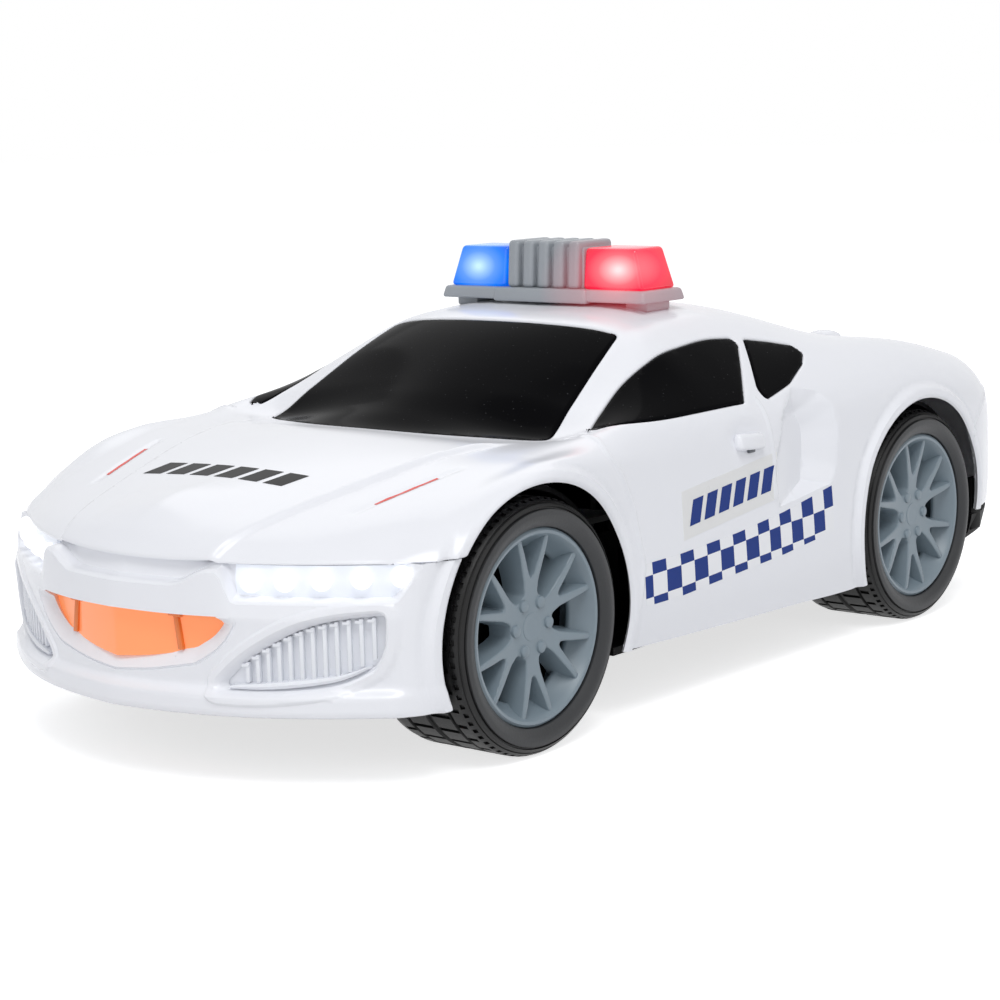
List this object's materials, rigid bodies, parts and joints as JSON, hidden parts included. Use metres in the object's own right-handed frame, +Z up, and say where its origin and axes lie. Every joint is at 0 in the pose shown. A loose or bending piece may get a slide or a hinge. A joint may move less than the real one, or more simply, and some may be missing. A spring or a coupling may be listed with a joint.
{
  "type": "toy police car",
  "caption": "Toy police sports car with a roof light bar, spoked wheels on steel axles, a geared friction drive, push buttons and a battery tray.",
  "frame": {"origin": "middle of the bounding box in plan, on the ground under the tyres", "axes": "+Z up, the nose points to -Y, the left side of the car is +X"},
  "size_m": [0.146, 0.3234, 0.1155],
  "materials": {
    "white_shell": "gloss moulded white",
    "black_panel": "gloss moulded black",
    "black_chassis": "satin moulded black",
    "amber_lens": "clear amber",
    "grey_white": "gloss moulded pale grey",
    "clear_lens": "clear",
    "board": "lacquered board",
    "tail_red": "clear red",
    "grey_plastic": "satin moulded blue grey",
    "blue_lens": "clear blue",
    "red_lens": "clear red",
    "steel": "bright steel",
    "tyre": "satin soft black",
    "gear_plastic": "natural moulded",
    "dark_plastic": "satin moulded dark grey",
    "flywheel_metal": "plain metal",
    "cell_jacket": "printed jacket"
  },
  "bodies": {
    "car": {"body_shell": "white_shell", "front_bumper": "white_shell", "rear_bumper": "white_shell", "chassis": "black_chassis", "rear_diffuser": "black_chassis", "windscreen": "black_panel", "rear_window": "black_panel", "door_window_left": "black_panel", "door_window_right": "black_panel", "quarter_window_left": "black_panel", "quarter_window_right": "black_panel", "grille_lens": "amber_lens", "vent_grille_left": "grey_white", "vent_grille_right": "grey_white", "headlamp_lens_left": "clear_lens", "headlamp_lens_right": "clear_lens", "headlamp_board_left": "board", "headlamp_board_right": "board", "tail_lamp_left": "tail_red", "tail_lamp_right": "tail_red", "lightbar_base": "grey_plastic", "lightbar_cover": "grey_plastic", "blue_lens": "blue_lens", "red_lens": "red_lens", "lightbar_board": "board", "lightbar_screws": "steel", "button_board": "board", "gearbox_left": "dark_plastic", "gearbox_right": "dark_plastic", "idler_pin": "steel", "gearbox_screws": "steel", "circuit_board": "board", "speaker": "dark_plastic", "batteries": "cell_jacket", "battery_contacts": "steel", "battery_cover": "black_chassis", "power_switch": "dark_plastic", "body_screws": "steel"},
    "front_wheels": {"front_axle": "steel", "front_washers": "steel", "rim_front_left": "grey_plastic", "rim_front_right": "grey_plastic", "tyre_front_left": "tyre", "tyre_front_right": "tyre"},
    "rear_wheels": {"rear_axle": "steel", "rear_washers": "steel", "rim_rear_left": "grey_plastic", "rim_rear_right": "grey_plastic", "tyre_rear_left": "tyre", "tyre_rear_right": "tyre", "axle_gear": "gear_plastic"},
    "idler": {"idler_gear": "gear_plastic"},
    "flywheel": {"flywheel": "flywheel_metal"},
    "siren_button": {"siren_button": "white_shell"},
    "horn_button": {"horn_button": "white_shell"},
    "power_slider": {"power_slider": "black_chassis"}
  },
  "joints": [
    {"name": "front_wheels_spin", "type": "hinge", "parent": "car", "child": "front_wheels", "pos_m": [0, -0.0896, 0.031], "axis": [1, 0, 0], "continuous": true},
    {"name": "rear_wheels_spin", "type": "hinge", "parent": "car", "child": "rear_wheels", "pos_m": [0, 0.0916, 0.031], "axis": [1, 0, 0], "continuous": true},
    {"name": "idler_spin", "type": "hinge", "parent": "car", "child": "idler", "pos_m": [0, 0.07461, 0.034], "axis": [1, 0, 0], "continuous": true},
    {"name": "flywheel_spin", "type": "hinge", "parent": "car", "child": "flywheel", "pos_m": [0, 0.05832, 0.03542], "axis": [1, 0, 0], "continuous": true},
    {"name": "siren_press", "type": "slide", "parent": "car", "child": "siren_button", "axis": [0, 0, -1], "range_m": [0, 0.0015], "stiffness_N_per_m": 400},
    {"name": "horn_press", "type": "slide", "parent": "car", "child": "horn_button", "axis": [0, 0, -1], "range_m": [0, 0.0015], "stiffness_N_per_m": 400},
    {"name": "power_switch_slide", "type": "slide", "parent": "car", "child": "power_slider", "axis": [0, 1, 0], "range_m": [0, 0.004]}
  ],
  "couplings": [
    {"joint": "idler_spin", "follows": "rear_wheels_spin", "ratio": -2.8},
    {"joint": "flywheel_spin", "follows": "rear_wheels_spin", "ratio": 7.28}
  ]
}
